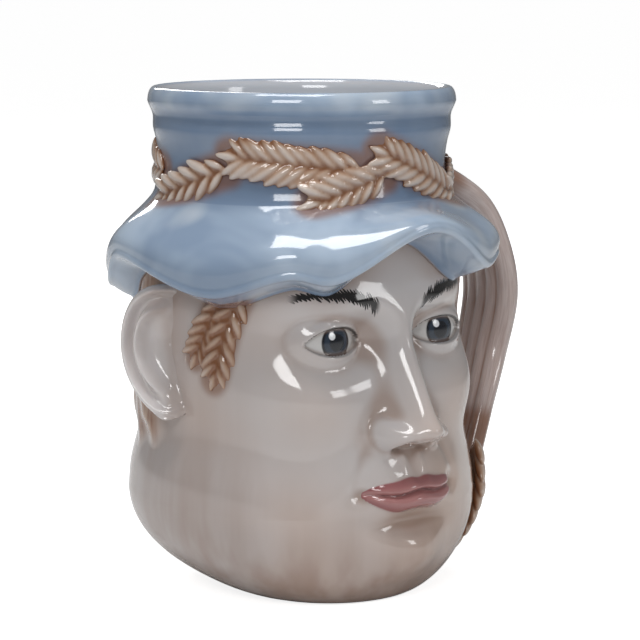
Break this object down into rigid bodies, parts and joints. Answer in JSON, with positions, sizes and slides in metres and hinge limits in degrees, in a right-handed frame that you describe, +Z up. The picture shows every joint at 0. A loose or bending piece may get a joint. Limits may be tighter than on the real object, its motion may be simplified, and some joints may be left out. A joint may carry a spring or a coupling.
{
  "type": "character jug",
  "caption": "Hollow glazed jug shaped as a man's head in a wavy-brimmed hat with a wreath of wheat; the hat's top is the open mouth and a straw sheaf is the side handle.",
  "frame": {"origin": "on the plane the foot stands on, under the middle of the round mouth; it lies inside the foot's flat face", "axes": "+Z up out of the mouth; the face looks along -Y; the handle is at +X, on the head's own left"},
  "size_m": [0.1545, 0.1317, 0.1616],
  "materials": {
    "glaze": "glossy"
  },
  "bodies": {
    "root": {"character_jug": "glaze"}
  },
  "joints": []
}
